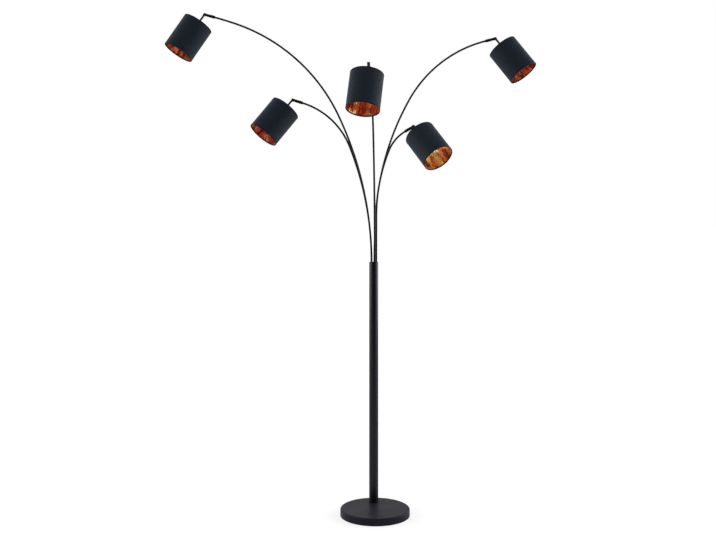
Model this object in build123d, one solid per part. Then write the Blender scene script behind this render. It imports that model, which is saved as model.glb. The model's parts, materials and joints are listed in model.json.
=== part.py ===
from build123d import *
import math
import os
from typing import NamedTuple

# A tree floor lamp: a round weighted foot, a two-piece post set back on it, and five bent arms
# that fan out of the post's mouth. Each arm ends in a sleeve that turns and an elbow that tilts,
# and carries a fabric drum shade with a crinkled metal-leaf lining.
# Millimetres, +Z up. The origin is the centre of the foot's underside, and the viewer is on -Y.

# ---- clearances
PLAY = 0.05  # radial play of a shaft in its bore, and of a plug in its tube
GAP = 0.3  # between faces that move past each other
CUT_PAST = 1.0  # a cutter reaches this far past the face that it opens

# ---- foot
FOOT_RADIUS = 140.0
FOOT_HEIGHT = 30.0
COVER_WALL = 1.2
COVER_EDGE = 6.0  # rounding of the cover's upper edge
COVER_LIFT = 1.0  # the cover's lower edge stands this far above the floor
PAD_THICKNESS = 2.0
PAD_INSET = 1.5  # the pad stays this far inside the cover
WEIGHT_INSET = 0.5
POST_SET_BACK = 77.0  # the post stands behind the foot's centre

# ---- fastening of the post
STUD_RADIUS = 8.0
STUD_BORE_RADIUS = 5.0
STUD_HOLE_MARGIN = 0.4
PLUG_HEIGHT = 24.0
STUD_BELOW_PLUG_TOP = 3.0
NUT_RECESS_RADIUS = 22.0
NUT_RECESS_HEIGHT = 15.0
WASHER_RADIUS = 18.0
WASHER_THICKNESS = 2.0
NUT_FLAT_RADIUS = 12.0  # half the distance across the flats
NUT_HEIGHT = 8.0
STUD_BELOW_NUT = 1.5

# ---- cord inlet and terminal block
INLET_HEIGHT = 9.4
INLET_BORE_RADIUS = 3.2
GROMMET_NECK_RADIUS = 4.8
GROMMET_FLANGE_RADIUS = 6.6
GROMMET_FLANGE = 1.8
GROMMET_SEAT = 0.3  # slack along the bore, for the curve of the cover
CHANNEL_WIDTH = 16.0
CHANNEL_HEIGHT = 15.0
POCKET_SIZE = (54.0, 32.0)
BLOCK_SIZE = (48.0, 20.0, 12.0)
BLOCK_WAYS = 5
BLOCK_WIRE_RADIUS = 1.7
BLOCK_SCREW_RADIUS = 1.5

# ---- post
POST_RADIUS = 19.0
POST_WALL = 1.2
POST_TOP = 1015.0
SEAM_HEIGHT = 527.0
COUPLER_REACH = 40.0  # length of the coupler inside each tube
COUPLER_WALL = 2.5
SEAM_RING = 1.0
SEAM_RING_INSET = 0.2

# ---- arm hub
HUB_RECESS = 2.0  # the hub's top lies below the mouth of the post
HUB_HEIGHT = 30.0
HUB_EDGE = 2.8  # metal between an arm and the hub's side
ARM_COUNT = 5
ARM_NUT_WALL = 1.5  # at the middle of a flat
ARM_NUT_HEIGHT = 6.0
ARM_NUT_TURN = 30.0  # turns the nuts so that neighbours lie flat to flat
SHANK_BELOW_NUT = 3.0

# ---- arm
ARM_RADIUS = 4.0
ARM_WALL = 1.0
BEAD_STEP = 1.2  # height of the upset ring that stops the arm on the hub
BUSH_WALL = 1.0
BUSH_LENGTH = 12.2
TIP_PAST_BUSH = 0.5

# ---- swivel sleeve and elbow
SLEEVE_LENGTH = 44.0  # from its mouth to the elbow's pin
SLEEVE_WALL = 1.15  # around the bush
SLEEVE_MOUTH_CHAMFER = 1.2
LIP_THICKNESS = 1.5
CAVITY_LENGTH = 14.5
WIRE_RADIUS = 2.2
TAPER_END = 8.0  # the taper stops this far behind the pin
TAPER_STEP = 0.8  # the sleeve is this much slimmer at the taper's end
FORK_WIDTH = 9.0
FORK_RADIUS = 5.0
TONGUE_THICKNESS = 3.2
TONGUE_RADIUS = 4.2
SLOT_DEPTH = 7.0
PIN_RADIUS = 1.5
PIN_HEAD_RADIUS = 2.9
PIN_HEAD_HEIGHT = 1.3
PIN_HEAD_BITE = 0.1  # the shank runs into the head by this much
PIN_SLOT_WIDTH = 0.8
PIN_SLOT_DEPTH = 0.6

# ---- stem
STEM_LENGTH = 46.0  # from the elbow's pin to the top of the shade
STEM_RADIUS = 4.0
NECK_START = 7.5
WIRE_START = 12.0  # the stem's bore stops short of the tongue
WINDOW_RADIUS = 1.9  # side hole where the wires enter the stem
COLLAR_RADIUS = 6.5
COLLAR_HEIGHT = 3.0
THREAD_RADIUS = 4.9
THREAD_LENGTH = 10.0

# ---- lampholder and shade carrier
HOLDER_FLANGE_RADIUS = 17.0
HOLDER_FLANGE = 2.5
HOLDER_RADIUS = 14.2
HOLDER_LENGTH = 46.0
HOLDER_CHAMFER = 1.0
SOCKET_RADIUS = 7.0
SOCKET_DEPTH = 26.0
HOLDER_ROOF_HOLE = 13.0
SPIDER_THICKNESS = 2.0
SPIDER_HUB_RADIUS = 19.5
SPIDER_SPOKES = 3
SPIDER_SPOKE_WIDTH = 5.0
SPIDER_RIM_WIDTH = 2.5
RING_NUT_RADIUS = 19.0
RING_NUT_HEIGHT = 8.0
RING_NUT_NOTCHES = 12
RING_NUT_NOTCH_RADIUS = 1.2

# ---- shade
SHADE_RADIUS = 64.0
SHADE_LENGTH = 147.0
FABRIC_WALL = 0.9
LINING_WALL = 0.5
HEM_HEIGHT = 5.0
HEM_PROUD = 0.3


class Limb(NamedTuple):
    """One arm with its head, as it stands in the photograph's pose."""

    name: str
    hole: int  # which hole of the hub, counted from +X towards +Y
    heading: float  # compass direction of the arm's plane, degrees from +X towards +Y
    rise: float  # straight length above the post's mouth
    bends: tuple  # (radius, degrees) of each arc, from the post outwards
    swivel: float  # turn of the sleeve from the pose where the shade hangs straight below
    tilt: float  # degrees between the arm's end and the stem


LIMBS = (
    Limb("left_high", 2, 180.0, 0.0, ((1400, 25.6), (716, 46.2), (1500, 3.2)), 10.8, 72.6),
    Limb("left_low", 3, 183.4, 0.0, ((1280, 21.7), (300, 51.4)), 12.9, 68.0),
    Limb("front", 4, -97.6, 55.0, ((1250, 22.0), (415, 48.0)), -4.9, 88.4),
    Limb("right_low", 0, -23.5, 186.0, ((700, 22.7), (158, 38.0)), -20.7, 77.5),
    Limb("right_high", 1, 3.2, 0.0, ((3300, 3.3), (1106, 26.0), (518, 46.1)), -20.8, 71.4),
)

# ---- places that follow from the sizes
UP = Vector(0, 0, 1)
ON_FLOOR = (Align.CENTER, Align.CENTER, Align.MIN)
POST_PLACE = Vector(0, POST_SET_BACK, 0)
POST_BORE = POST_RADIUS - POST_WALL
HUB_PITCH_RADIUS = POST_BORE - ARM_RADIUS - HUB_EDGE
COVER_INSIDE = FOOT_RADIUS - COVER_WALL
WEIGHT_TOP = FOOT_HEIGHT - COVER_WALL
PLUG_TOP = FOOT_HEIGHT + PLUG_HEIGHT
STUD_TOP = PLUG_TOP - STUD_BELOW_PLUG_TOP
WASHER_TOP = PAD_THICKNESS + NUT_RECESS_HEIGHT
NUT_TOP = WASHER_TOP - WASHER_THICKNESS
STUD_BOTTOM = NUT_TOP - NUT_HEIGHT - STUD_BELOW_NUT
HUB_TOP = POST_TOP - HUB_RECESS
HUB_BOTTOM = HUB_TOP - HUB_HEIGHT
SHANK_BOTTOM = HUB_BOTTOM - ARM_NUT_HEIGHT - SHANK_BELOW_NUT
ARM_NUT_FLAT_RADIUS = ARM_RADIUS + ARM_NUT_WALL
BEAD_RADIUS = ARM_RADIUS + BEAD_STEP
BUSH_RADIUS = ARM_RADIUS + BUSH_WALL
SLEEVE_BORE = BUSH_RADIUS + PLAY
SLEEVE_RADIUS = SLEEVE_BORE + SLEEVE_WALL
TAPER_RADIUS = SLEEVE_RADIUS - TAPER_STEP
BUSH_BACK = SLEEVE_LENGTH - LIP_THICKNESS - GAP  # behind the elbow's pin
ARM_TIP = BUSH_BACK - BUSH_LENGTH - TIP_PAST_BUSH
CAVITY_END = SLEEVE_LENGTH - LIP_THICKNESS - CAVITY_LENGTH
SLOT_WIDTH = TONGUE_THICKNESS + 2 * GAP
SPIDER_TOP = STEM_LENGTH + HOLDER_FLANGE
RING_NUT_TOP = SPIDER_TOP + SPIDER_THICKNESS
HOLDER_END = STEM_LENGTH + HOLDER_LENGTH
SHADE_END = STEM_LENGTH + SHADE_LENGTH
FABRIC_INSIDE = SHADE_RADIUS - FABRIC_WALL
LINING_INSIDE = FABRIC_INSIDE - LINING_WALL
HEM_INSIDE = LINING_INSIDE - HEM_PROUD


def turned(*points):
    """A solid of revolution about Z from (radius, height) points."""
    return revolve(Plane.XZ * Polygon(*points, align=None), Axis.Z)


def rod(radius, bottom, top):
    """A round bar along Z."""
    return Pos(0, 0, bottom) * Cylinder(radius, top - bottom, align=ON_FLOOR)


def tube(outer, inner, bottom, top):
    """A round tube along Z."""
    return rod(outer, bottom, top) - rod(inner, bottom - CUT_PAST, top + CUT_PAST)


def block(size_x, size_y, bottom, top):
    """A box along Z, centred on X and Y."""
    return Pos(0, 0, bottom) * Box(size_x, size_y, top - bottom, align=ON_FLOOR)


def hexagon(flat_radius, bore, bottom, top):
    """A hexagon nut along Z."""
    outline = RegularPolygon(flat_radius, 6, major_radius=False)
    body = Pos(0, 0, bottom) * extrude(outline, top - bottom)
    return body - rod(bore, bottom - CUT_PAST, top + CUT_PAST)


# ---- the foot
def base_cover():
    outside = rod(FOOT_RADIUS, COVER_LIFT, FOOT_HEIGHT)
    outside = fillet(outside.edges().sort_by(Axis.Z)[-1], COVER_EDGE)
    inside = rod(COVER_INSIDE, 0, WEIGHT_TOP)
    inside = fillet(inside.edges().sort_by(Axis.Z)[-1], COVER_EDGE - COVER_WALL)
    stud_hole = rod(STUD_RADIUS + STUD_HOLE_MARGIN, 0, FOOT_HEIGHT + CUT_PAST)
    inlet = inlet_place() * rod(GROMMET_NECK_RADIUS, -FOOT_RADIUS / 2, FOOT_RADIUS / 2)
    return outside - inside - Pos(POST_PLACE) * stud_hole - inlet


def inlet_place():
    """The cord's way out at the back of the foot, with Z pointing outwards."""
    return Plane((0, FOOT_RADIUS, INLET_HEIGHT), x_dir=(1, 0, 0), z_dir=(0, 1, 0)).location


def base_weight():
    body = rod(COVER_INSIDE - WEIGHT_INSET, PAD_THICKNESS, WEIGHT_TOP)
    body = fillet(body.edges().sort_by(Axis.Z)[-1], COVER_EDGE)
    stud_hole = rod(STUD_RADIUS + STUD_HOLE_MARGIN, 0, FOOT_HEIGHT)
    recess = rod(NUT_RECESS_RADIUS, 0, WASHER_TOP)
    pocket = block(*POCKET_SIZE, 0, PAD_THICKNESS + CHANNEL_HEIGHT)
    channel = block(CHANNEL_WIDTH, FOOT_RADIUS, 0, PAD_THICKNESS + CHANNEL_HEIGHT)
    body = body - Pos(POST_PLACE) * stud_hole - Pos(POST_PLACE) * recess - pocket
    return body - Pos(0, FOOT_RADIUS / 2, 0) * channel


def base_pad():
    return rod(COVER_INSIDE - PAD_INSET, 0, PAD_THICKNESS)


def cord_grommet():
    inner_face = -COVER_WALL - GROMMET_SEAT
    body = rod(GROMMET_NECK_RADIUS, inner_face - GROMMET_FLANGE, GROMMET_FLANGE)
    body += rod(GROMMET_FLANGE_RADIUS, 0, GROMMET_FLANGE)
    body += rod(GROMMET_FLANGE_RADIUS, inner_face - GROMMET_FLANGE, inner_face)
    bore = rod(INLET_BORE_RADIUS, -FOOT_RADIUS / 2, FOOT_RADIUS / 2)
    return inlet_place() * (body - bore)


def terminal_block():
    length, width, height = BLOCK_SIZE
    top = PAD_THICKNESS + CHANNEL_HEIGHT
    body = block(length, width, top - height, top)
    pitch = length / BLOCK_WAYS
    for way in range(BLOCK_WAYS):
        offset = (way - (BLOCK_WAYS - 1) / 2) * pitch
        wire = Pos(offset, 0, top - height / 2) * Rot(90, 0, 0) * Cylinder(BLOCK_WIRE_RADIUS, 2 * width)
        body -= wire
        for side in (-1, 1):
            screw = rod(BLOCK_SCREW_RADIUS, top - height - CUT_PAST, top - height / 2)
            body -= Pos(offset, side * width / 4, 0) * screw
    return body


def post_stud():
    return Pos(POST_PLACE) * tube(STUD_RADIUS, STUD_BORE_RADIUS, STUD_BOTTOM, STUD_TOP)


def post_washer():
    return Pos(POST_PLACE) * tube(WASHER_RADIUS, STUD_RADIUS, NUT_TOP, WASHER_TOP)


def post_nut():
    return Pos(POST_PLACE) * hexagon(NUT_FLAT_RADIUS, STUD_RADIUS, NUT_TOP - NUT_HEIGHT, NUT_TOP)


# ---- the post
def post_plug():
    return Pos(POST_PLACE) * tube(POST_BORE - PLAY, STUD_RADIUS, FOOT_HEIGHT, PLUG_TOP)


def lower_post():
    return Pos(POST_PLACE) * tube(POST_RADIUS, POST_BORE, FOOT_HEIGHT, SEAM_HEIGHT)


def post_coupler():
    ring_top = SEAM_HEIGHT + SEAM_RING
    outside = POST_BORE - PLAY
    body = rod(outside, SEAM_HEIGHT - COUPLER_REACH, ring_top + COUPLER_REACH)
    body += rod(POST_RADIUS - SEAM_RING_INSET, SEAM_HEIGHT, ring_top)
    bore = rod(outside - COUPLER_WALL, 0, POST_TOP)
    return Pos(POST_PLACE) * (body - bore)


def upper_post():
    return Pos(POST_PLACE) * tube(POST_RADIUS, POST_BORE, SEAM_HEIGHT + SEAM_RING, POST_TOP)


# ---- the hub and the arms
def hub_hole_place(index):
    angle = math.radians(index * 360 / ARM_COUNT)
    return POST_PLACE + Vector(math.cos(angle), math.sin(angle), 0) * HUB_PITCH_RADIUS


def arm_hub():
    body = Pos(POST_PLACE) * rod(POST_BORE - PLAY, HUB_BOTTOM, HUB_TOP)
    hole = rod(ARM_RADIUS + PLAY, HUB_BOTTOM - CUT_PAST, HUB_TOP + CUT_PAST)
    for index in range(ARM_COUNT):
        body -= Pos(hub_hole_place(index)) * hole
    return body


def arm_nuts():
    nut = hexagon(ARM_NUT_FLAT_RADIUS, ARM_RADIUS, HUB_BOTTOM - ARM_NUT_HEIGHT, HUB_BOTTOM)
    nuts = []
    for index in range(ARM_COUNT):
        turn = Rot(0, 0, index * 360 / ARM_COUNT + ARM_NUT_TURN)
        nuts.append(Pos(hub_hole_place(index)) * turn * nut)
    return Compound(nuts)


def arm_plane(limb):
    """The upright plane in which an arm is bent: local X outwards, local Y up."""
    angle = math.radians(limb.heading)
    outwards = Vector(math.cos(angle), math.sin(angle), 0)
    return Plane(hub_hole_place(limb.hole) + UP * POST_TOP, x_dir=outwards, z_dir=outwards.cross(UP))


def arm_centre_line(limb):
    """The arm's centre line in its plane: shank, tangent arcs, and the straight end in the sleeve."""
    runs = [Line((0, SHANK_BOTTOM - POST_TOP), (0, limb.rise))]
    for radius, degrees in limb.bends:
        runs.append(JernArc(runs[-1] @ 1, runs[-1] % 1, radius, -degrees))
    end, direction = runs[-1] @ 1, runs[-1] % 1
    runs.append(Line(end, end + direction * (SLEEVE_LENGTH - ARM_TIP)))
    return Wire(runs)


def arm(limb):
    centre_line = arm_plane(limb).location * arm_centre_line(limb)
    section = Plane(centre_line @ 0, z_dir=centre_line % 0)
    outside = sweep(section * Circle(ARM_RADIUS), path=centre_line)
    bore = sweep(section * Circle(ARM_RADIUS - ARM_WALL), path=centre_line)
    bead = tube(BEAD_RADIUS, ARM_RADIUS - ARM_WALL / 2, HUB_TOP, HUB_TOP + HUB_RECESS)
    return outside + Pos(hub_hole_place(limb.hole)) * bead - bore


def head_plane(limb):
    """The elbow: origin on the pin's axis, X along the pin, Z along the arm's end."""
    line = arm_centre_line(limb)
    plane = arm_plane(limb)
    end, direction = line @ 1, line % 1
    along = plane.x_dir * direction.X + plane.y_dir * direction.Y
    elbow = plane.from_local_coords(end) + along * ARM_TIP
    level = along.cross(-UP).normalized()
    pin = level.rotate(Axis((0, 0, 0), along), limb.swivel)
    return Plane(elbow, x_dir=pin, z_dir=along)


def drop_plane(limb):
    """The shade's own plane: same origin and pin, Z along the stem towards the shade's opening."""
    head = head_plane(limb)
    drop = head.z_dir.rotate(Axis((0, 0, 0), head.x_dir), limb.tilt)
    return Plane(head.origin, x_dir=head.x_dir, z_dir=drop)


def arm_bushes():
    bush = tube(BUSH_RADIUS, ARM_RADIUS, -BUSH_BACK, BUSH_LENGTH - BUSH_BACK)
    return Compound([head_plane(limb).location * bush for limb in LIMBS])


# ---- the elbow, in the head's plane
def swivel_sleeve():
    body = turned(
        (0, -SLEEVE_LENGTH),
        (SLEEVE_RADIUS - SLEEVE_MOUTH_CHAMFER, -SLEEVE_LENGTH),
        (SLEEVE_RADIUS, SLEEVE_MOUTH_CHAMFER - SLEEVE_LENGTH),
        (SLEEVE_RADIUS, -CAVITY_END),
        (TAPER_RADIUS, -TAPER_END),
        (0, -TAPER_END),
    )
    body += block(FORK_WIDTH, 2 * FORK_RADIUS, -TAPER_END, 0)
    body += Rot(0, 90, 0) * Cylinder(FORK_RADIUS, FORK_WIDTH)
    body -= rod(ARM_RADIUS + GAP, -SLEEVE_LENGTH - CUT_PAST, -CAVITY_END)
    body -= rod(SLEEVE_BORE, LIP_THICKNESS - SLEEVE_LENGTH, -CAVITY_END)
    body -= rod(WIRE_RADIUS, -SLEEVE_LENGTH, CUT_PAST - SLOT_DEPTH)
    body -= block(SLOT_WIDTH, 4 * FORK_RADIUS, -SLOT_DEPTH, 2 * FORK_RADIUS)
    return body - Rot(0, 90, 0) * Cylinder(PIN_RADIUS, 2 * FORK_WIDTH)


def pivot_screw():
    half = FORK_WIDTH / 2
    body = rod(PIN_RADIUS, -half, half + PIN_HEAD_BITE)
    head = rod(PIN_HEAD_RADIUS, half, half + PIN_HEAD_HEIGHT)
    head = fillet(head.edges().sort_by(Axis.Z)[-1], PIN_HEAD_HEIGHT / 2)
    top = half + PIN_HEAD_HEIGHT
    slot = block(2 * (PIN_HEAD_RADIUS + CUT_PAST), PIN_SLOT_WIDTH, top - PIN_SLOT_DEPTH, top + CUT_PAST)
    return Rot(0, 90, 0) * (body + head - slot)


# ---- the head, in the shade's plane
def stem():
    body = Rot(0, 90, 0) * Cylinder(TONGUE_RADIUS, TONGUE_THICKNESS)
    body += block(TONGUE_THICKNESS, 2 * TONGUE_RADIUS, 0, NECK_START)
    body += rod(STEM_RADIUS, NECK_START, STEM_LENGTH)
    body += rod(COLLAR_RADIUS, STEM_LENGTH - COLLAR_HEIGHT, STEM_LENGTH)
    body += rod(THREAD_RADIUS, STEM_LENGTH, STEM_LENGTH + THREAD_LENGTH)
    body -= Rot(0, 90, 0) * Cylinder(PIN_RADIUS + PLAY, 2 * TONGUE_THICKNESS)
    body -= rod(WIRE_RADIUS, WIRE_START, STEM_LENGTH + THREAD_LENGTH + CUT_PAST)
    window = Rot(90, 0, 0) * rod(WINDOW_RADIUS, 0, 2 * STEM_RADIUS)
    return body - Pos(0, 0, WIRE_START + 2 * WINDOW_RADIUS) * window


def lampholder():
    body = rod(HOLDER_FLANGE_RADIUS, STEM_LENGTH, SPIDER_TOP)
    body += rod(HOLDER_RADIUS, SPIDER_TOP, HOLDER_END)
    body = chamfer(body.edges().sort_by(Axis.Z)[-1], HOLDER_CHAMFER)
    body -= rod(THREAD_RADIUS, STEM_LENGTH - CUT_PAST, STEM_LENGTH + HOLDER_ROOF_HOLE)
    return body - rod(SOCKET_RADIUS, HOLDER_END - SOCKET_DEPTH, HOLDER_END + CUT_PAST)


def shade_ring():
    bottom, top = SPIDER_TOP, SPIDER_TOP + SPIDER_THICKNESS
    body = tube(HEM_INSIDE, HEM_INSIDE - SPIDER_RIM_WIDTH, bottom, top)
    reach = HEM_INSIDE - SPIDER_RIM_WIDTH / 2
    for index in range(SPIDER_SPOKES):
        spoke = Pos(reach / 2, 0, 0) * block(reach, SPIDER_SPOKE_WIDTH, bottom, top)
        body += Rot(0, 0, index * 360 / SPIDER_SPOKES) * spoke
    body += rod(SPIDER_HUB_RADIUS, bottom, top)
    return body - rod(HOLDER_RADIUS + PLAY, bottom - CUT_PAST, top + CUT_PAST)


def ring_nut():
    bottom, top = RING_NUT_TOP, RING_NUT_TOP + RING_NUT_HEIGHT
    body = tube(RING_NUT_RADIUS, HOLDER_RADIUS, bottom, top)
    notch = rod(RING_NUT_NOTCH_RADIUS, bottom - CUT_PAST, top + CUT_PAST)
    notch = Pos(RING_NUT_RADIUS, 0, 0) * notch
    for index in range(RING_NUT_NOTCHES):
        body -= Rot(0, 0, index * 360 / RING_NUT_NOTCHES) * notch
    return body


def shade():
    body = tube(SHADE_RADIUS, FABRIC_INSIDE, STEM_LENGTH, SHADE_END)
    for start in (STEM_LENGTH, SHADE_END - HEM_HEIGHT):
        body += tube(SHADE_RADIUS + HEM_PROUD, HEM_INSIDE, start, start + HEM_HEIGHT)
    return body


def lining():
    return tube(FABRIC_INSIDE, LINING_INSIDE, STEM_LENGTH + HEM_HEIGHT, SHADE_END - HEM_HEIGHT)


FIXED_PIECES = (
    base_cover,
    base_weight,
    base_pad,
    cord_grommet,
    terminal_block,
    post_stud,
    post_washer,
    post_nut,
    post_plug,
    lower_post,
    post_coupler,
    upper_post,
    arm_hub,
    arm_nuts,
    arm_bushes,
)
ELBOW_PIECES = (swivel_sleeve, pivot_screw)
SHADE_PIECES = (stem, lampholder, shade_ring, ring_nut, shade, lining)


def build():
    """Every sub-part, by name, in its place."""
    parts = {piece.__name__: piece() for piece in FIXED_PIECES}
    elbow_shapes = {piece.__name__: piece() for piece in ELBOW_PIECES}
    shade_shapes = {piece.__name__: piece() for piece in SHADE_PIECES}
    for limb in LIMBS:
        parts[f"arm_{limb.name}"] = arm(limb)
        for name, shape in elbow_shapes.items():
            parts[f"{name}_{limb.name}"] = head_plane(limb).location * shape
        for name, shape in shade_shapes.items():
            parts[f"{name}_{limb.name}"] = drop_plane(limb).location * shape
    return parts


os.makedirs("parts", exist_ok=True)
for node, shape in build().items():
    export_step(shape, f"parts/{node}.step")
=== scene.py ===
# %% [markdown]
# # A tree floor lamp
# The lamp stands on a round weighted foot. A post set back on the foot carries five bent arms that
# fan out, and each arm ends in an elbow with a fabric drum shade lined in crinkled metal leaf.
# The rigid pieces come ready made as a frame at their real size, in metres, and this lesson gives
# them their finishes. The cloth, the leaf and the felt are modelled here, because soft and crinkled
# sheets have small forms that a plain solid lacks.

# %% Load the frame
import bmesh
import bpy
import json
import math
import random
from mathutils import Matrix, Vector, noise


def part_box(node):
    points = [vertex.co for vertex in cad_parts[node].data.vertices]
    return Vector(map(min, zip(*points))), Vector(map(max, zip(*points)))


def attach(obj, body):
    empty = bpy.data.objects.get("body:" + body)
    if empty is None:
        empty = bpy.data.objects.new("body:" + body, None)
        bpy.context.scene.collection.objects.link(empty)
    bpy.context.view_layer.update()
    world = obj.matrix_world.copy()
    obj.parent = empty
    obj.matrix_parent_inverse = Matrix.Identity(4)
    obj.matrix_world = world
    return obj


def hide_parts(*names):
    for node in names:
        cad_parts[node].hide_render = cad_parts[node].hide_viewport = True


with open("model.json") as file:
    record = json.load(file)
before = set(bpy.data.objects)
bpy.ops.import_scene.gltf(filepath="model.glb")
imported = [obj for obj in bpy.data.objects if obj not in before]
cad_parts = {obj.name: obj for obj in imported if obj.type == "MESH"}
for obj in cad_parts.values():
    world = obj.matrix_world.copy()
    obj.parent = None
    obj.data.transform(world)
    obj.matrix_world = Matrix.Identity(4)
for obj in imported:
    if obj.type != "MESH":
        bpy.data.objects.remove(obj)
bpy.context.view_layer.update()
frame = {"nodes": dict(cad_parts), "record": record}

NODES = frame["nodes"]
RECORD = frame["record"]

# %% [markdown]
# ## The camera
# A camera can be placed by eye, or worked out from what the picture tells. Here the foot's width in
# the picture gives the scale, the flattening of its round top gives the camera's height, and the
# upright post says that the camera was level. A level camera that shows a tall lamp needs a small
# vertical shift of the lens, as a view camera has. The lamp stands turned by a few degrees, and the
# camera goes round it by the same angle instead, because the frame stays as it is.

# %% Camera
PICTURE_WIDTH = 716
PICTURE_HEIGHT = 540
HORIZON_ROW = 182.2  # the row of the picture at the lens's height
PIXELS_PER_METRE = 248.0  # at the foot's centre
CAMERA_DISTANCE = 4.2
CAMERA_HEIGHT = 1.3426
CAMERA_ASIDE = -0.0686
LAMP_TURN = math.radians(3.1)
SENSOR_WIDTH = 36.0

lens = bpy.data.cameras.new("view")
lens.sensor_fit = "HORIZONTAL"
lens.sensor_width = SENSOR_WIDTH
lens.lens = SENSOR_WIDTH * PIXELS_PER_METRE * CAMERA_DISTANCE / PICTURE_WIDTH
lens.shift_y = (HORIZON_ROW - PICTURE_HEIGHT / 2) / PICTURE_WIDTH
camera = bpy.data.objects.new("view", lens)
bpy.context.collection.objects.link(camera)
turn = Matrix.Rotation(-LAMP_TURN, 4, "Z")
camera.location = turn @ Vector((CAMERA_ASIDE, -CAMERA_DISTANCE, CAMERA_HEIGHT))
camera.rotation_euler = (math.radians(90), 0, -LAMP_TURN)
bpy.context.scene.camera = camera
print("lens", round(lens.lens, 1), "mm, shifted by", round(lens.shift_y, 3))

# %% [markdown]
# ## Shader maths as Python
# A pattern on a surface is a small formula. It could be drawn as a web of nodes by hand, but a class
# that wraps a node's output lets the formula be written with + and *, so that it reads like the
# maths it is. Every other node comes from one method, which sets the node's options first and then
# feeds its inputs.


# %% Signals: outputs that can be added and multiplied
class Signal:
    """One output of a node: a number, a colour or a place that changes over a surface."""

    def __init__(self, nodes, socket):
        self.nodes = nodes
        self.socket = socket

    def math(self, operation, *values):
        """A Math node that is fed those values, in that order."""
        return self.nodes.node("ShaderNodeMath", {"operation": operation}, dict(enumerate(values)))

    def __add__(self, other):
        return self.math("ADD", self, other)

    def __sub__(self, other):
        return self.math("SUBTRACT", self, other)

    def __mul__(self, other):
        return self.math("MULTIPLY", self, other)

    def __radd__(self, other):
        return self.math("ADD", other, self)

    def __rsub__(self, other):
        return self.math("SUBTRACT", other, self)

    def __rmul__(self, other):
        return self.math("MULTIPLY", other, self)

    def __abs__(self):
        return self.math("ABSOLUTE", self)

    def floor(self):
        return self.math("FLOOR", self)

    def odd(self):
        """0 on the even whole numbers and 1 on the odd ones."""
        return self.math("PINGPONG", self, 1.0)

    def hump(self):
        """Rises from 0 to 1 and back as the number goes from one whole number to the next."""
        return abs(self.math("SINE", self * math.pi))

    def swing(self, width):
        """Noise from 0 to 1 as a swing of that width about zero."""
        return (self - 0.5) * width

    def above(self, edge, softness):
        """0 below the edge and 1 above it, with a soft step between."""
        limits = {"Value": self, "From Min": edge - softness, "From Max": edge + softness}
        return self.nodes.node("ShaderNodeMapRange", {"interpolation_type": "SMOOTHSTEP"}, limits)


print("signals take + - * and abs")


# %% Nodes: every node comes from one method
class Nodes:
    """The node tree of a material or of the world."""

    def __init__(self, tree):
        self.tree = tree

    def node(self, kind, settings=None, sockets=None, output=0):
        """Adds a node, sets its options, feeds its inputs and gives one of its outputs."""
        made = self.tree.nodes.new(kind)
        for option, value in (settings or {}).items():
            setattr(made, option, value)
        for socket, value in (sockets or {}).items():
            self.feed(made.inputs[socket], value)
        return Signal(self, made.outputs[output])

    def feed(self, socket, value):
        """Links a signal to an input, or sets the input to a plain value."""
        if isinstance(value, Signal):
            self.tree.links.new(value.socket, socket)
        else:
            socket.default_value = value


# %% A finish: one material with its formula
class Finish(Nodes):
    """A material. What stays the same all over is set on the shader by name."""

    def __init__(self, name, **constants):
        self.material = bpy.data.materials.new(name)
        self.material.use_nodes = True
        super().__init__(self.material.node_tree)
        self.shader = self.tree.nodes["Principled BSDF"]
        self.wear(**constants)

    def wear(self, **values):
        """Feeds signals or plain values to the shader's inputs, and gives the material."""
        for socket, value in values.items():
            self.feed(self.shader.inputs[socket.replace("_", " ")], value)
        return self.material

    def place(self):
        """Where a point lies in the lamp, in metres."""
        return self.node("ShaderNodeTexCoord", output="Object")

    def map(self, name):
        """Where a point lies on the piece's own map."""
        return self.node("ShaderNodeUVMap", {"uv_map": name})

    def stretched(self, vector, scale):
        """The place times a scale, so that a pattern on it is long where the scale is small."""
        return self.node("ShaderNodeMapping", None, {"Vector": vector, "Scale": scale})

    def part_of(self, vector, letter):
        return self.node("ShaderNodeSeparateXYZ", None, {"Vector": vector}, output=letter)

    def blotches(self, vector, size, detail=2.0, roughness=0.5):
        """Smooth noise from 0 to 1, in blotches of about that size in metres."""
        sockets = {"Vector": vector, "Scale": 1 / size, "Detail": detail, "Roughness": roughness}
        return self.node("ShaderNodeTexNoise", {"noise_dimensions": "3D"}, sockets)

    def between(self, mask, first, second):
        """A colour that goes from the first to the second as the mask rises."""
        sockets = {0: mask, 6: rgba(first), 7: rgba(second)}
        settings = {"data_type": "RGBA", "clamp_factor": True}
        return self.node("ShaderNodeMix", settings, sockets, output=2)

    def relief(self, height, depth, under=None):
        """A bump whose height signal of 0 to 1 stands for that depth in metres."""
        sockets = {"Height": height, "Distance": depth, "Strength": 1.0}
        if under:
            sockets["Normal"] = under
        return self.node("ShaderNodeBump", None, sockets)


def rgba(value):
    """A colour as four numbers, or a signal as it is."""
    return value if isinstance(value, Signal) else (*value, 1.0)


print("a finish has:", ", ".join(name for name in vars(Finish) if not name.startswith("_")))

# %% [markdown]
# ## Light
# The lamp stands in a white studio, so that its dark pieces show pale lines along their edges. A
# picture of a room could light it, but a plain white world does the same without a file. Light Path
# says what kind of ray looks at the world: the eye and the mirrors see full white, while the light
# on the lamp comes from a dimmer one, at which a colour shows about as it is written.

# %% A white world
WORLD_LIGHT = 0.38
WHITE = (1.0, 1.0, 1.0, 1.0)


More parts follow.
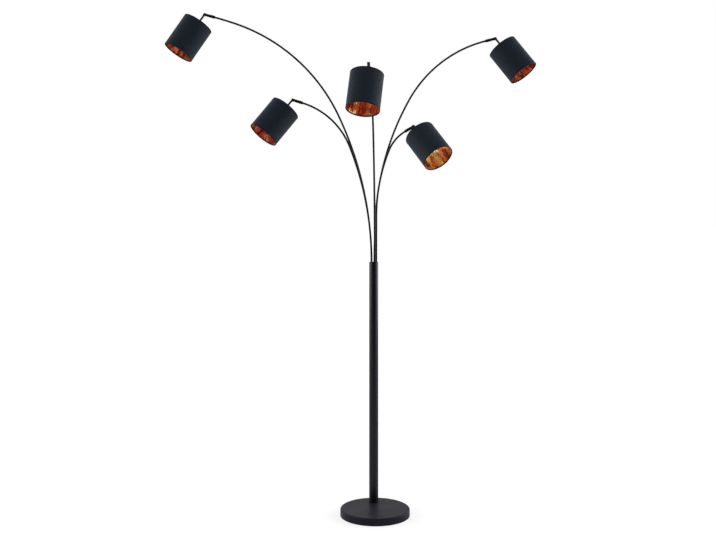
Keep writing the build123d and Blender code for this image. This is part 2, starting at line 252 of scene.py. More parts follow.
def show_white(nodes, plain, white, share=1.0):
    """The plain shader for most light, and that share of the white one for eye and mirrors."""
    seen = nodes.node("ShaderNodeLightPath", output="Is Camera Ray")
    for ray in ("Is Glossy Ray", "Is Transmission Ray"):
        seen = seen.math("MAXIMUM", seen, nodes.node("ShaderNodeLightPath", output=ray))
    return nodes.node("ShaderNodeMixShader", None, {0: seen * share, 1: plain, 2: white})


world = bpy.data.worlds.new("white_studio")
bpy.context.scene.world = world
world.use_nodes = True
sky = Nodes(world.node_tree)
dim = sky.tree.nodes["Background"]
sky.feed(dim.inputs["Color"], WHITE)
sky.feed(dim.inputs["Strength"], WORLD_LIGHT)
white = sky.node("ShaderNodeBackground", None, {"Color": WHITE, "Strength": 1.0})
shown = show_white(sky, Signal(sky, dim.outputs[0]), white)
sky.feed(sky.tree.nodes["World Output"].inputs["Surface"], shown)
bpy.context.scene.view_settings.view_transform = "Standard"
print("world light", WORLD_LIGHT)

# %% [markdown]
# ## The floor
# A studio floor is swept paper. A white plane as plain as the world would leave the lamp hanging in
# the air, and a lit grey one would show its far edge. So the floor glows as white as the world to
# the eye, and near the foot it gives up a share of that glow, where the lamp's shadow then falls.

# %% A white floor
FLOOR_WIDTH = 50.0
FLOOR_GLOW = 1.08  # so that the unshadowed floor is as white as the world behind it
SHADOW_SHARE = 0.35  # the part of the white that takes the shadow, near the foot
SHADOW_REACH = 0.9  # the distance around which that part fades out
SHADOW_FADE = 0.5


def studio_sheet(name, place, material):
    """A flat sheet of one metre square, laid in its place and size by a matrix."""
    build = bmesh.new()
    bmesh.ops.create_grid(build, x_segments=1, y_segments=1, size=0.5, matrix=place)
    mesh = bpy.data.meshes.new(name)
    build.to_mesh(mesh)
    build.free()
    mesh.materials.append(material)
    sheet = bpy.data.objects.new(name, mesh)
    bpy.context.collection.objects.link(sheet)
    return sheet


paper = Finish("white_floor", Base_Color=(0.9, 0.9, 0.9, 1.0), Roughness=0.9)
lit = Signal(paper, paper.shader.outputs[0])
glow = paper.node("ShaderNodeEmission", None, {"Color": WHITE, "Strength": FLOOR_GLOW})
distance = paper.node(
    "ShaderNodeVectorMath", {"operation": "LENGTH"}, {0: paper.place()}, output="Value"
)
near = 1.0 - distance.above(SHADOW_REACH, SHADOW_FADE)
shown = show_white(paper, lit, glow, 1.0 - near * SHADOW_SHARE)
paper.feed(paper.tree.nodes["Material Output"].inputs["Surface"], shown)
floor = studio_sheet("floor", Matrix.Scale(FLOOR_WIDTH, 4), paper.material)
print("floor:", FLOOR_WIDTH, "m wide")

# %% [markdown]
# ## Softboxes
# A softbox is a lamp behind a large white cloth, so its light has no hard edge. Small lamps would
# draw thin streaks on round steel, while two wide softboxes at the sides draw the two broad bands on
# the post. A third one overhead lights the top of the foot and the tops of the shades.

# %% Softboxes
AIM = Vector((0, 0, 1.3))
SOFTBOXES = {  # place, width, height and power
    "left_softbox": (Vector((-2.8, 0.35, 1.45)), 3.6, 2.1, 80.0),
    "right_softbox": (Vector((2.8, 0.35, 1.45)), 3.6, 2.1, 98.0),
    "top_softbox": (Vector((0, -0.6, 4.2)), 2.0, 2.0, 22.0),
}
for name, (spot, width, height, power) in SOFTBOXES.items():
    light = bpy.data.lights.new(name, "AREA")
    light.shape = "RECTANGLE"
    light.size = width
    light.size_y = height
    light.energy = power
    softbox = bpy.data.objects.new(name, light)
    softbox.location = spot
    softbox.rotation_euler = (AIM - spot).to_track_quat("-Z", "Y").to_euler()
    softbox.visible_camera = False
    bpy.context.collection.objects.link(softbox)
print("softboxes:", ", ".join(SOFTBOXES))

# %% [markdown]
# ## A black flag
# A round black post shows whatever stands in front of it. Photographers hang a black cloth, a flag,
# on the camera's side, so that the middle of the post stays dark between its two bands. Less light
# would darken the bands too, so the flag is the better way. Here it is a card that only mirrored
# light meets: the camera looks through it, and it takes no light from the lamp.

# %% The flag
FLAG_WIDTH = 4.6
FLAG_HEIGHT = 3.2
FLAG_DISTANCE = 3.0
BLACK = (0.02, 0.02, 0.02, 1.0)

black = Finish("black_flag", Base_Color=BLACK, Roughness=1.0, Specular_IOR_Level=0.0)
upright = Matrix.Diagonal((FLAG_WIDTH, 1, FLAG_HEIGHT, 1)) @ Matrix.Rotation(math.pi / 2, 4, "X")
hung = Matrix.Translation((0, -FLAG_DISTANCE, FLAG_HEIGHT / 2)) @ upright
flag = studio_sheet("flag", hung, black.material)
for kind_of_ray in ("camera", "diffuse", "transmission", "volume_scatter", "shadow"):
    setattr(flag, "visible_" + kind_of_ray, False)
print("flag:", FLAG_WIDTH, "by", FLAG_HEIGHT, "m")

# %% [markdown]
# ## Powder coat
# The foot, post, arms and elbows are steel under a baked powder coat. It is never quite smooth: it
# has a fine grain, a slow orange-peel wave and specks of dust. A picture of it could be wrapped
# round each piece, but noise on the lamp's own coordinates has no seams and keeps its real size.

# %% Powder coat
COAT_GRAIN = 0.0007  # the sizes of the coat's marks
COAT_PEEL = 0.009
COAT_CLOUD = 0.08
COAT_DUST = 0.0012
GRAIN_DEPTH = 0.00004
PEEL_DEPTH = 0.00005
DUST_TONE = (0.10, 0.10, 0.105)
DUST_COVER = 0.3  # how much of the coat a speck hides
COATS = {  # slot: name, darkest tone, palest tone, roughness and shine
    # the foot's tones are lighter and bluer than the post's: painted reflection, for the pale sheen
    # on the foot's top
    "coat_foot": ("foot_coat_painted_sheen", (0.0105, 0.010, 0.0165), (0.014, 0.0135, 0.021), 0.46, 0.05),
    "coat_post": ("post_coat", (0.002, 0.002, 0.0055), (0.0035, 0.0035, 0.008), 0.28, 0.19),
    "coat_hub": ("hub_coat", (0.003, 0.003, 0.003), (0.005, 0.005, 0.005), 0.6, 0.08),
    "coat_arm": ("arm_coat", (0.002, 0.002, 0.0025), (0.003, 0.003, 0.0035), 0.36, 0.10),
    "ring_wire": ("ring_coat", (0.006, 0.006, 0.007), (0.010, 0.010, 0.011), 0.5, 0.15),
}


def powder_coat(name, dark, pale, roughness, shine):
    finish = Finish(name, Specular_IOR_Level=shine)
    place = finish.place()
    grain = finish.blotches(place, COAT_GRAIN, detail=2.0, roughness=0.6)
    peel = finish.blotches(place, COAT_PEEL, detail=1.0)
    cloud = finish.blotches(place, COAT_CLOUD, detail=3.0)
    dust = finish.blotches(place, COAT_DUST, detail=0.0).above(edge=0.76, softness=0.03)
    tint = finish.between(cloud, dark, pale)
    return finish.wear(
        Base_Color=finish.between(dust * DUST_COVER, tint, DUST_TONE),
        Roughness=roughness + cloud.swing(0.16) + grain.swing(0.12),
        Normal=finish.relief(grain, GRAIN_DEPTH, finish.relief(peel, PEEL_DEPTH)),
    )


FINISHES = {slot: powder_coat(*coat) for slot, coat in COATS.items()}
print("powder coats:", ", ".join(FINISHES))

# %% [markdown]
# ## The pieces inside
# The cast-iron weight, the plated stud and nuts, the brass bushes and the moulded plastics show
# only when the lamp is open. Each could be one flat colour, but a bench view looks closely, so each
# gets the marks of how it was made: sand grain on the casting, drawing lines on what was plated,
# flow marks on what was moulded, and fibres in the felt.

# %% Cast iron
SAND_GRAIN = 0.0016
SAND_DEPTH = 0.0004
RUST_SIZE = 0.02
IRON_TONE = (0.060, 0.060, 0.065)
RUST_TONE = (0.130, 0.060, 0.035)


def cast_iron():
    finish = Finish("sand_cast_iron", Metallic=0.6)
    place = finish.place()
    grain = finish.blotches(place, SAND_GRAIN, detail=4.0, roughness=0.7)
    rust = finish.blotches(place, RUST_SIZE, detail=3.0).above(edge=0.62, softness=0.06)
    return finish.wear(
        Base_Color=finish.between(rust * 0.6, IRON_TONE, RUST_TONE),
        Roughness=0.62 + rust * 0.2,
        Normal=finish.relief(grain, SAND_DEPTH),
    )


FINISHES["iron"] = cast_iron()
print("iron, with rust in patches of", RUST_SIZE, "m")

# %% Plated and turned metal
DRAWN_LINE = 0.0005
DRAWN_DEPTH = 0.00001
PLATE_CLOUD = 0.006
PLATED = {  # slot: name, deep tone, pale tone and roughness
    "zinc": ("zinc_plate", (0.45, 0.47, 0.50), (0.62, 0.64, 0.66), 0.34),
    "bush_brass": ("turned_brass", (0.62, 0.43, 0.18), (0.80, 0.60, 0.27), 0.26),
}


def plated(name, deep, pale, roughness):
    finish = Finish(name, Metallic=1.0)
    place = finish.place()
    drawn = finish.blotches(finish.stretched(place, (1.0, 1.0, 0.08)), DRAWN_LINE)
    cloud = finish.blotches(place, PLATE_CLOUD)
    return finish.wear(
        Base_Color=finish.between(cloud, deep, pale),
        Roughness=roughness + cloud.swing(0.15),
        Normal=finish.relief(drawn, DRAWN_DEPTH),
    )


FINISHES |= {slot: plated(*plate) for slot, plate in PLATED.items()}
print("plated and turned:", ", ".join(PLATED))

# %% Moulded plastic and rubber
SPARK_GRAIN = 0.0004  # the grain that the mould was eroded with
SPARK_DEPTH = 0.000015
FLOW_MARK = 0.012
MOULDED = {  # slot: name, tone, tone of the flow marks and roughness
    "holder_plastic": ("holder_plastic", (0.008, 0.008, 0.009), (0.013, 0.013, 0.014), 0.42),
    "terminal_plastic": ("terminal_plastic", (0.56, 0.53, 0.47), (0.50, 0.47, 0.41), 0.5),
    "rubber": ("grommet_rubber", (0.010, 0.010, 0.010), (0.018, 0.018, 0.018), 0.7),
}


def moulded(name, tone, flow_tone, roughness):
    finish = Finish(name)
    place = finish.place()
    spark = finish.blotches(place, SPARK_GRAIN, detail=1.0)
    flow = finish.blotches(finish.stretched(place, (1.0, 1.0, 0.3)), FLOW_MARK)
    return finish.wear(
        Base_Color=finish.between(flow, tone, flow_tone),
        Roughness=roughness + flow.swing(0.12),
        Normal=finish.relief(spark, SPARK_DEPTH),
    )


FINISHES |= {slot: moulded(*plastic) for slot, plastic in MOULDED.items()}
print("moulded:", ", ".join(MOULDED))

# %% Pressed felt
FIBRE = 0.0006
FIBRE_DEPTH = 0.0004
CLUMP = 0.004
FELT_DEEP = (0.010, 0.010, 0.011)
FELT_PALE = (0.026, 0.026, 0.028)


def pressed_felt():
    finish = Finish("pressed_felt", Roughness=0.95, Sheen_Weight=0.3)
    place = finish.place()
    fibre = finish.blotches(place, FIBRE, detail=5.0, roughness=0.75)
    return finish.wear(
        Base_Color=finish.between(finish.blotches(place, CLUMP), FELT_DEEP, FELT_PALE),
        Normal=finish.relief(fibre, FIBRE_DEPTH),
    )


FINISHES["felt"] = pressed_felt()
print("felt, with fibres of", FIBRE, "m")

# %% [markdown]
# ## Shade cloth
# The shades are covered in a plain weave of blue-black yarn. A photograph of cloth could give it,
# but two crossing sets of threads are a simple formula: each thread is the hump of a sine, and a
# chequer says which set lies on top. The pattern reads a map that runs round and along each drum,
# so the threads stay square to the rims. Slow noise along the threads makes the yarns thick and
# thin, and a soft sheen stands for the loose fibres that catch light at the drum's sides. On the
# folded hems at the rims the cloth is drawn darker.

# %% Shade cloth
CLOTH_MAP = "cloth"
THREAD = 0.0006  # from one thread to the next
UNDER = 0.45  # the height of a thread that passes under, as a share of one on top
WAVER = 0.005
WAVER_ROUND = 0.8  # how far the threads stray sideways, in threads
WAVER_ALONG = 0.6
SLUB = 0.0012  # a thick place in the yarn
WEAVE_DEPTH = 0.0001
HEM_FROM_MIDDLE = 0.0685  # the folded hems start this far from the drum's middle
HEM_EDGE = 0.0004
CLOTH_DEEP = (0.008, 0.0125, 0.021)
CLOTH_PALE = (0.018, 0.0265, 0.041)
CLOTH_GAPS = tuple(channel * 0.4 for channel in CLOTH_DEEP)
FIBRE_SHEEN = {"Sheen_Weight": 0.08, "Sheen_Roughness": 0.35, "Sheen_Tint": (0.75, 0.87, 1.0, 1.0)}


def woven_cloth():
    finish = Finish("shade_cloth", Roughness=0.6, Specular_IOR_Level=0.07, **FIBRE_SHEEN)
    cloth = finish.map(CLOTH_MAP)
    waver = finish.blotches(cloth, WAVER)
    height = finish.part_of(cloth, "Y")
    around = finish.part_of(cloth, "X") * (1 / THREAD) + waver * WAVER_ROUND
    along = height * (1 / THREAD) + waver * WAVER_ALONG
    on_top = (around.floor() + along.floor()).odd()
    upright = around.hump() * (UNDER + on_top * (1 - UNDER))
    level = along.hump() * (1.0 - on_top * (1 - UNDER))
    threads = upright + level
    slub = finish.blotches(finish.stretched(cloth, (1.0, 0.05, 1.0)), SLUB)
    yarn = finish.between(slub * 0.6 + on_top * 0.3, CLOTH_DEEP, CLOTH_PALE)
    # the cloth is drawn darker on the folded hems at the rims
    hem = abs(height).above(HEM_FROM_MIDDLE, HEM_EDGE)
    yarn = finish.between(hem * 0.6, yarn, CLOTH_GAPS)
    return finish.wear(
        Base_Color=finish.between(threads * 0.7, CLOTH_GAPS, yarn),
        Normal=finish.relief(threads + slub * 0.5, WEAVE_DEPTH),
    )


FINISHES["shade_fabric"] = woven_cloth()
print("threads per centimetre:", round(0.01 / THREAD))

# %% [markdown]
# ## Crinkled copper leaf
# The drums are lined in thin metal leaf on paper, crumpled and pressed to the wall. It is copper
# red, with patches where the leaf is gold, and it glints along its creases. Its dark red patches
# are painted dark reflections: they stand in for dark things mirrored in the leaf, which the white
# studio doesn't give. The large folds are real shape, made with the lining below. The finish adds
# what is too fine for the mesh: a net of small creases from cell noise, whose borders are sharp like
# folds in foil, and the colour patches. All patterns are drawn out along the drum, as the folds are.
# Two shades get a lighter copper, one of them with more gold too: painted light for those two
# linings, which look better lit. So there are three kinds.

# %% Copper leaf
LEAF_RED = (0.52, 0.125, 0.055)
LEAF_COPPER = (0.80, 0.36, 0.22)
# painted light: lighter coppers for the two linings that look better lit
LEAF_LIT_RED = (0.78, 0.20, 0.08)
LEAF_LIT_COPPER = (0.97, 0.54, 0.33)
LEAF_GOLD = (1.0, 0.80, 0.36)
# painted dark reflection: a dark red that stands in for dark things mirrored in the leaf
PAINTED_DARK_REFLECTION = (0.13, 0.016, 0.005)
DARK_REFLECTION_COVER = 0.85
COPPER_PATCH = 0.024  # the sizes of the patches
GOLD_PATCH = 0.034
DARK_REFLECTION_PATCH = 0.022
CREASE_NETS = ((0.018, 0.0004), (0.006, 0.00005))  # size and depth of the creases
LEAVES = {  # kind: name, the two coppers, and the level of noise above which the leaf is gold
    "leaf_lining": ("copper_leaf", LEAF_RED, LEAF_COPPER, 0.64),
    # the two lit kinds are painted light: a lighter copper, and in the first one more gold too
    "lit_gold_leaf": ("lit_copper_and_gold_leaf", LEAF_LIT_RED, LEAF_LIT_COPPER, 0.47),
    "lit_bright_leaf": ("lit_copper_leaf", LEAF_LIT_RED, LEAF_LIT_COPPER, 0.62),
}


def copper_leaf(name, deep, pale, gold_above):
    finish = Finish(name)
    leaf = finish.map(CLOTH_MAP)
    drawn = finish.stretched(leaf, (1.0, 0.4, 1.0))
    creases = None
    for size, depth in CREASE_NETS:
        cells = finish.node(
            "ShaderNodeTexVoronoi",
            {"feature": "F1", "distance": "CHEBYCHEV"},
            {"Vector": drawn, "Scale": 1 / size, "Randomness": 1.0},
        )
        creases = finish.relief(cells, depth, creases)
    patch = finish.blotches(drawn, COPPER_PATCH)
    gold = finish.blotches(drawn, GOLD_PATCH, roughness=0.45).above(gold_above, softness=0.04)
    longer = finish.stretched(leaf, (1.0, 0.35, 1.0))
    # the mask of the painted dark reflections, drawn out along the drum
    dark_reflection = finish.blotches(longer, DARK_REFLECTION_PATCH).above(edge=0.56, softness=0.05)
    tint = finish.between(patch.above(edge=0.5, softness=0.12), deep, pale)
    tint = finish.between(gold, tint, LEAF_GOLD)
    return finish.wear(
        Base_Color=finish.between(dark_reflection * DARK_REFLECTION_COVER, tint, PAINTED_DARK_REFLECTION),
        Metallic=0.95 - dark_reflection * 0.1,
        Roughness=0.24 + patch * 0.1 + dark_reflection * 0.1,
        Normal=creases,
    )


FINISHES |= {kind: copper_leaf(*leaf) for kind, leaf in LEAVES.items()}
print("finishes:", len(FINISHES))

# %% [markdown]
# ## Dressing the frame
# The frame's record says what each rigid piece is made of. The finishes could be given piece by
# piece, but a loop over the record's own list can't miss one.

# %% Dress the frame
for part in RECORD["subparts"]:
    mesh = NODES[part["node"]].data
    mesh.materials.clear()
    mesh.materials.append(FINISHES[part["material_slot"]])
print("dressed:", len(RECORD["subparts"]), "pieces")

# %% [markdown]
# ## Where each drum hangs
# Every drum is the same, so it is modelled once, upright, with the elbow's pin at the origin and
# the drum's opening up along Z. A matrix for each head carries it to its place. The matrix comes
# from the frame: the joint gives the pin, and the lampholder's mount gives the way the drum points.
# The drum's sizes are measured on the frame's own plain drum, so that cloth and frame agree.

# %% Places of the heads
MOUNTS = {mount["name"]: mount for mount in RECORD["mounts"]}
JOINTS = {joint["name"]: joint for joint in RECORD["behaviour"]["joints"]}
HEADS = [name.removeprefix("tilt_") for name in JOINTS if name.startswith("tilt_")]


def head_place(head):
    """The matrix from the upright drum to that head."""
    drop = Vector(MOUNTS["bulb_socket_" + head]["axis"]).normalized()
    pin = Vector(JOINTS["tilt_" + head]["axis"]).normalized()
    across = drop.cross(pin)
    turned = Matrix((pin, across, drop)).transposed().to_4x4()
    return Matrix.Translation(JOINTS["tilt_" + head]["pos_m"]) @ turned


def measured(node, head):
    """The node's least and greatest radius and height in the upright drum's frame."""
    back = head_place(head).inverted()
    corners = [back @ vertex.co for vertex in NODES[f"{node}_{head}"].data.vertices]
    radii = [corner.xy.length for corner in corners]
    heights = [corner.z for corner in corners]
    return min(radii), max(radii), min(heights), max(heights)


HEM_INSIDE, HEM_OUTSIDE, DRUM_TOP, DRUM_END = measured("shade", HEADS[0])
LINING_INSIDE, WALL_INSIDE, LINING_TOP, LINING_END = measured("lining", HEADS[0])
HEM_HEIGHT = LINING_TOP - DRUM_TOP
DRUM_MIDDLE = (DRUM_TOP + DRUM_END) / 2
print("heads:", ", ".join(HEADS))
print("drum: radius", round(HEM_OUTSIDE, 4), "length", round(DRUM_END - DRUM_TOP, 4))

# %% [markdown]
# ## Helpers for the sheets
# A drum, its lining and the socket's shell are all sheets bent round one axis. Their shape could be
# made from a cylinder that is pushed about, but turning an outline about the axis with spin says at
# once what the section is. The map for cloth and leaf is laid in real metres, round and along, so
# that the patterns in the finishes keep their true size.

# %% Turning an outline
MERGE = 1e-6  # points nearer than this are one
ROLLED = {"segments": 3, "profile": 0.5, "affect": "EDGES", "material": -1}


def turned_outline(outline, steps):
    """A closed outline of (radius, height) points turned once round Z, with its faces outwards."""
    build = bmesh.new()
    points = [build.verts.new((radius, 0, height)) for radius, height in outline]
    edges = [build.edges.new(pair) for pair in zip(points, points[1:] + points[:1])]
    bmesh.ops.spin(
        build,
        geom=points + edges,
        cent=(0, 0, 0),
        axis=(0, 0, 1),
        angle=math.tau,
        steps=steps,
        use_merge=True,
    )
    bmesh.ops.remove_doubles(build, verts=build.verts, dist=MERGE)
    bmesh.ops.recalc_face_normals(build, faces=build.faces)
    return build


def on_ring(edge, heights):
    """True for an edge that runs round the axis at one of those heights."""
    first, second = (vertex.co for vertex in edge.verts)
    level = abs(first.z - second.z) < MERGE and abs(first.xy.length - second.xy.length) < MERGE
    return level and min(abs(first.z - height) for height in heights) < MERGE


print("a rolled edge has", ROLLED["segments"], "segments")


# %% Laying a map
def lay_map(build, radius, start=0.0):
    """A map in metres: round the axis at that radius from that start, and along from the middle."""
    layer = build.loops.layers.uv.new(CLOTH_MAP)
    for face in build.faces:
        middle = face.calc_center_median()
        facing = math.atan2(middle.y, middle.x)
        for loop in face.loops:
            angle = math.atan2(loop.vert.co.y, loop.vert.co.x)
            angle += math.tau * round((facing - angle) / math.tau)
            loop[layer].uv = (start + angle * radius, loop.vert.co.z - DRUM_MIDDLE)


print("maps start at the drum's middle, at height", round(DRUM_MIDDLE, 4))


# %% Finishing a piece
def finished(build, name, slot, place, body, *replaced, finish=None):
    """The built mesh as an object that lies in its place and rides on its body."""
    mesh = bpy.data.meshes.new(name)
    build.to_mesh(mesh)
    build.free()
    mesh.transform(place)
    mesh.materials.append(FINISHES[finish or slot])
    obj = bpy.data.objects.new(name, mesh)
    bpy.context.collection.objects.link(obj)
    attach(obj, body)
    if replaced:
        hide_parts(*replaced)
    print(name, "has", len(mesh.polygons), "faces")


# %% [markdown]
# ## The cloth drum
# Cloth is laminated to a stiff sheet, rolled up, lapped by about a centimetre and glued, and its
# edges are rolled over a wire at both rims. A plain tube would show none of that. Here the outline
# has the two rolled hems, a bevel rounds the rolls, and the lap stands proud on the drum's back.
# A slow ripple of a tenth of a millimetre keeps the long wall from looking machined.

# %% The lap
LAP_WIDTH = 0.009
LAP_HEIGHT = 0.00025
LAP_ANGLE = math.radians(100)
LAP_SLOPE = 0.4  # the share of the lap's width in which it falls to nothing


def lap_cover(point):
    """1 where the cloth lies double, falling to 0 at the lap's sides."""
    away = (math.atan2(point.y, point.x) - LAP_ANGLE + math.pi) % math.tau - math.pi
    share = 1 + LAP_SLOPE - 2 * abs(away) * point.xy.length / LAP_WIDTH
    return min(max(share, 0.0), 1.0)


print("lap:", LAP_WIDTH, "m wide")

# %% The cloth drum
CLOTH_WALL = 0.0009
DRUM_STEPS = 144
WALL_CUTS = 16
HEM_ROLL = 0.0008
RIPPLE = 0.00012
RIPPLE_SIZE = 0.035
RIPPLE_SHIFT = 7.3  # each drum reads another stretch of the noise
SHARP_FROM = math.radians(50)


def cloth_drum(seed):
    wall = WALL_INSIDE + CLOTH_WALL
    low, high = DRUM_TOP + HEM_HEIGHT, DRUM_END - HEM_HEIGHT
    outline = [
        (HEM_OUTSIDE, DRUM_TOP),
        (HEM_OUTSIDE, low),
        (wall, low),
        (wall, high),
        (HEM_OUTSIDE, high),
        (HEM_OUTSIDE, DRUM_END),
        (HEM_INSIDE, DRUM_END),
        (HEM_INSIDE, high),
        (WALL_INSIDE, high),
        (WALL_INSIDE, low),
        (HEM_INSIDE, low),
        (HEM_INSIDE, DRUM_TOP),
    ]
    build = turned_outline(outline, DRUM_STEPS)
    rims = [edge for edge in build.edges if on_ring(edge, (DRUM_TOP, DRUM_END))]
    bmesh.ops.bevel(build, geom=rims, offset=HEM_ROLL, **ROLLED)
    upright = [edge for edge in build.edges if edge.calc_length() > 0.5 * (high - low)]
    bmesh.ops.subdivide_edges(build, edges=upright, cuts=WALL_CUTS, use_grid_fill=True)
    for vertex in build.verts:
        shifted = vertex.co / RIPPLE_SIZE + Vector((0, 0, RIPPLE_SHIFT * seed))
        swell = RIPPLE * noise.noise(shifted)
        if abs(vertex.co.xy.length - wall) < RIPPLE:
            swell += LAP_HEIGHT * lap_cover(vertex.co)
        vertex.co.xy *= 1 + swell / vertex.co.xy.length
    for face in build.faces:
        face.smooth = True
    for edge in build.edges:
        edge.smooth = edge.calc_face_angle(0) < SHARP_FROM
    lay_map(build, wall)
    return build


for seed, head in enumerate(HEADS):
    names = ("shade_cloth_" + head, "shade_fabric", head_place(head), "head_" + head)
    finished(cloth_drum(seed), *names, "shade_" + head)

# %% [markdown]
# ## The crinkled lining
# Metal leaf on paper is crumpled by hand, half smoothed out and glued inside the drum, so it shows
# flat facets that meet in sharp creases, longer along the drum than round it. Cloth simulation
# could crumple a sheet, but the creases of glued foil don't move, so a grid with each point pushed
# in by a seeded chance amount does it. Halving the grid and pushing once more, only a little, bends
# the large facets. The faces stay flat shaded, since a smooth crease isn't foil. One weakness: the
# amounts are the same in each run, but they are dealt in the order that the operators leave the
# points in, and that order isn't the same in each run. So the folds change a little with each run.

# %% Pushing the leaf in
LEAF_BORDER = 0.0005  # the leaf stays glued down this close to its ends
MOSTLY_SHALLOW = 1.5  # a power that makes deep folds rarer than shallow ones


def push_in(build, chance, depth, slip_angle, slip_height):
    """Pushes the leaf side's points in by a chance depth, and lets them slip sideways."""
    for vertex in sorted(build.verts, key=lambda vertex: vertex.index):
        radius = vertex.co.xy.length
        if radius > LINING_INSIDE + MERGE:
            continue
        pushed = radius - depth * chance.random() ** MOSTLY_SHALLOW
        angle = math.atan2(vertex.co.y, vertex.co.x) + slip_angle * chance.uniform(-1, 1)
        height = vertex.co.z + slip_height * chance.uniform(-1, 1)
        if min(vertex.co.z - LINING_TOP, LINING_END - vertex.co.z) < LEAF_BORDER:
            continue
        height = min(max(height, LINING_TOP + LEAF_BORDER), LINING_END - LEAF_BORDER)
        vertex.co = (pushed * math.cos(angle), pushed * math.sin(angle), height)


def faces_axis(face):
    """True for a face of the leaf side, which looks towards the drum's axis."""
    middle = face.calc_center_median()
    return face.normal.x * middle.x + face.normal.y * middle.y < -0.3 * middle.xy.length


print("glued border:", LEAF_BORDER, "m")

# %% The crinkled lining
LINING_STEPS = 24
LINING_ROWS = 3
FOLD_DEPTH = 0.0070
SMALL_FOLD_DEPTH = 0.0005
SLIP = 0.38  # how far a point may slip sideways, as a share of its cell
SMALL_SLIP = 0.1
FIRST_SEED = 100
PIECE_OF_LEAF = 0.61  # each lining is cut this much further along the same sheet
# painted light: these two linings get the lighter, lit kinds of leaf
LEAF_OF = {"right_low": "lit_gold_leaf", "front": "lit_bright_leaf"}


def crinkled_lining(seed):
    chance = random.Random(FIRST_SEED + seed)
    length = LINING_END - LINING_TOP
    rows = [LINING_END - length * row / LINING_ROWS for row in range(LINING_ROWS + 1)]
    outline = [(WALL_INSIDE, LINING_TOP), (WALL_INSIDE, LINING_END)]
    outline += [(LINING_INSIDE, height) for height in rows]
    build = turned_outline(outline, LINING_STEPS)
    cell_angle = math.tau / LINING_STEPS
    cell_height = length / LINING_ROWS
    push_in(build, chance, FOLD_DEPTH, SLIP * cell_angle, SLIP * cell_height)
    inner = [face for face in build.faces if faces_axis(face)]
    bmesh.ops.triangulate(build, faces=inner, quad_method="SHORT_EDGE")
    creased = [edge for edge in build.edges if all(faces_axis(face) for face in edge.link_faces)]
    bmesh.ops.subdivide_edges(build, edges=creased, cuts=1, use_grid_fill=True)
    push_in(build, chance, SMALL_FOLD_DEPTH, SMALL_SLIP * cell_angle, SMALL_SLIP * cell_height)
    lay_map(build, LINING_INSIDE, seed * PIECE_OF_LEAF)
    return build


for seed, head in enumerate(HEADS):
    names = ("leaf_lining_" + head, "leaf_lining", head_place(head), "head_" + head)
    finished(crinkled_lining(seed), *names, "lining_" + head, finish=LEAF_OF.get(head))

# %% [markdown]
# ## The socket inside the lampholder
# A small screw bulb turns into a thin brass shell with a rolled thread, and its tip meets a spring
# contact at the bottom. The thread could be a stack of rings, but spin with a step along the axis
# draws the true helix: a wavy line turned once, raised by one pitch, joins up with itself. Both
# ends are then cut level, and the sheet is given its thickness.

# %% The socket's shell
THREAD_CREST = 0.0068
THREAD_DEPTH = 0.0005
THREAD_PITCH = 0.00282
POINTS_PER_PITCH = 8
SHELL_TURNS = 7
SHELL_STEPS = 40
SHELL_SHEET = 0.0003


def thread_shell(bottom):
    build = bmesh.new()
    points = []
    for count in range((SHELL_TURNS + 2) * POINTS_PER_PITCH + 1):
        share = count / POINTS_PER_PITCH
        radius = THREAD_CREST - THREAD_DEPTH * (0.5 - 0.5 * math.cos(math.tau * share))
        points.append(build.verts.new((radius, 0, bottom + (share - 1) * THREAD_PITCH)))
    edges = [build.edges.new(pair) for pair in zip(points, points[1:])]
    bmesh.ops.spin(
        build,
        geom=points + edges,
        cent=(0, 0, 0),
        axis=(0, 0, 1),
        dvec=(0, 0, THREAD_PITCH / SHELL_STEPS),
        angle=math.tau,
        steps=SHELL_STEPS,
    )
    bmesh.ops.remove_doubles(build, verts=build.verts, dist=10 * MERGE)
    top = bottom + SHELL_TURNS * THREAD_PITCH
    for height, side in ((bottom, -1), (top, 1)):
        whole = build.verts[:] + build.edges[:] + build.faces[:]
        cut = {"plane_co": (0, 0, height), "plane_no": (0, 0, side), "clear_outer": True}
        bmesh.ops.bisect_plane(build, geom=whole, **cut)
    bmesh.ops.recalc_face_normals(build, faces=build.faces)
    bmesh.ops.solidify(build, geom=build.faces[:], thickness=SHELL_SHEET)
    bmesh.ops.recalc_face_normals(build, faces=build.faces)
    return build


print("thread:", SHELL_TURNS, "turns of", THREAD_PITCH, "m")

# %% The contact, and the sockets in their places
CONTACT_RADIUS = 0.0024
CONTACT_HEIGHT = 0.0016
CONTACT_DOME = 0.4 * CONTACT_HEIGHT
CONTACT_STEPS = 24
SHELL_LIFT = 2 * CONTACT_HEIGHT  # from the lampholder's floor to the shell
MM = 0.001


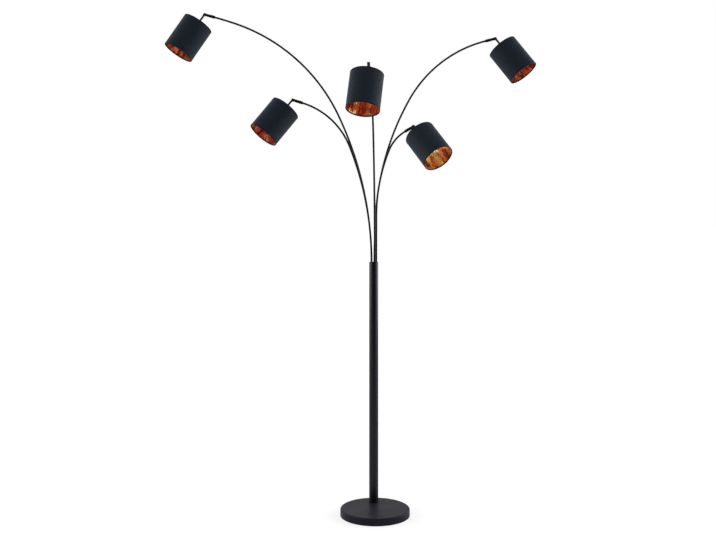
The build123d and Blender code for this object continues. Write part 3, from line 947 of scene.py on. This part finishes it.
def add_contact(build, bottom):
    old = set(build.verts)
    place = Matrix.Translation((0, 0, bottom + CONTACT_HEIGHT / 2))
    sizes = {"radius1": CONTACT_RADIUS, "radius2": CONTACT_RADIUS, "depth": CONTACT_HEIGHT}
    bmesh.ops.create_cone(build, cap_ends=True, segments=CONTACT_STEPS, matrix=place, **sizes)
    top = (bottom + CONTACT_HEIGHT,)
    rim = [edge for edge in build.edges if not old & set(edge.verts) and on_ring(edge, top)]
    bmesh.ops.bevel(build, geom=rim, offset=CONTACT_DOME, **ROLLED)


for head in HEADS:
    mount = MOUNTS["bulb_socket_" + head]
    place = head_place(head)
    middle = (place.inverted() @ Vector(mount["pos_m"])).z
    holder_floor = middle - mount["dims"]["length_mm"] * MM / 2
    build = thread_shell(holder_floor + SHELL_LIFT)
    add_contact(build, holder_floor)
    for face in build.faces:
        face.smooth = True
    finished(build, "socket_shell_" + head, "bush_brass", place, "head_" + head)

# %% [markdown]
# ## The felt under the foot
# A disc of pressed felt keeps the iron weight off the floor. A flat disc would do from above, but
# felt has soft edges and a slightly uneven skirt, so its rim is rounded and wavers a little.

# %% The felt pad
PAD_STEPS = 180
PAD_WAVER = 0.0004
PAD_WAVES = 60  # per metre
PAD_ROUNDING = 0.3  # of its thickness

low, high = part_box("base_pad")
pad_radius = (high[0] - low[0]) / 2
pad_height = high[2] - low[2]
place = Matrix.Translation((0, 0, low[2] + pad_height / 2))
sizes = {"radius1": pad_radius, "radius2": pad_radius, "depth": pad_height}
build = bmesh.new()
bmesh.ops.create_cone(build, cap_ends=True, segments=PAD_STEPS, matrix=place, **sizes)
rims = [edge for edge in build.edges if on_ring(edge, (low[2], high[2]))]
bmesh.ops.bevel(build, geom=rims, offset=PAD_ROUNDING * pad_height, **{**ROLLED, "segments": 2})
for vertex in build.verts:
    if vertex.co.xy.length > 0.5 * pad_radius:
        waver = PAD_WAVER * (noise.noise(vertex.co * PAD_WAVES) - 1)
        vertex.co.xy *= 1 + waver / vertex.co.xy.length
finished(build, "felt_pad", "felt", Matrix.Identity(4), "stand", "base_pad")

# %% [markdown]
# ## Closing
# The cloth may stand a little proud of the plain drum, but the lamp keeps its size.
